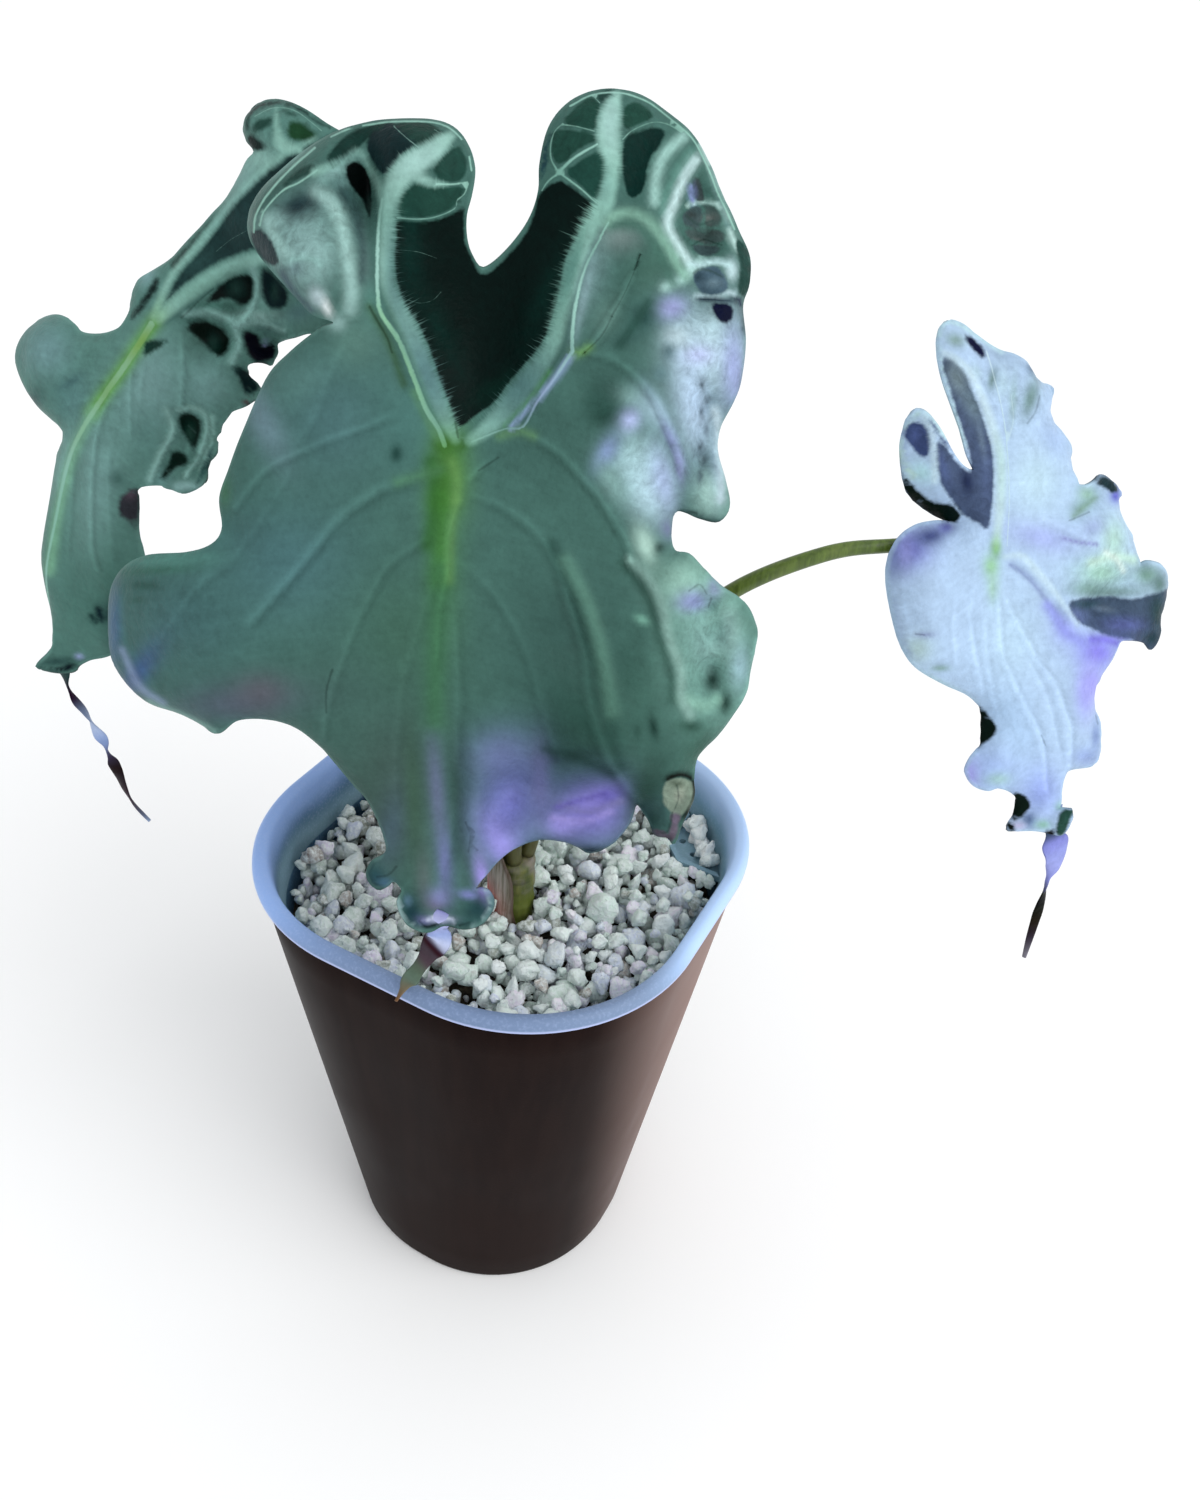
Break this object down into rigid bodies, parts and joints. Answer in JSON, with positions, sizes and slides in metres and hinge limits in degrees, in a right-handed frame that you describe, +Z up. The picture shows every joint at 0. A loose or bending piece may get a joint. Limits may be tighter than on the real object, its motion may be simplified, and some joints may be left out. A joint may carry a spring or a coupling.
{
  "type": "potted alocasia plant",
  "caption": "Small arrow-leaved aroid with ruffled, net-veined leaves on long stalks, in pumice in a clear liner that hangs in a tapered rounded-square pot.",
  "frame": {"origin": "centre of the pot's flat foot, on the surface it stands on", "axes": "+Z up; X and Y along the sides of the rounded-square pot, with the filling shelf in the +X +Y corner"},
  "size_m": [0.2568, 0.1438, 0.2934],
  "materials": {
    "outer_pot": "satin dark brown moulded plastic",
    "inner_pot": "translucent bluish moulded plastic",
    "pumice": "dry chalky grains",
    "stem": "waxy olive green",
    "sheath": "dry papery sheath, grey-pink with a red patch",
    "stalk": "waxy olive green",
    "leaf_green": "velvety grey-green with pale veins and near-black cells",
    "leaf_silver": "satin silver-blue with violet shade and slate cells"
  },
  "bodies": {
    "root": {"outer_pot": "outer_pot", "inner_pot": "inner_pot", "substrate": "pumice", "shelf_grains": "pumice", "stem_base": "stem", "cataphyll": "sheath", "petiole_front": "stalk", "petiole_left": "stalk", "petiole_right": "stalk", "leaf_front": "leaf_green", "leaf_left": "leaf_green", "leaf_right": "leaf_silver"}
  },
  "joints": []
}
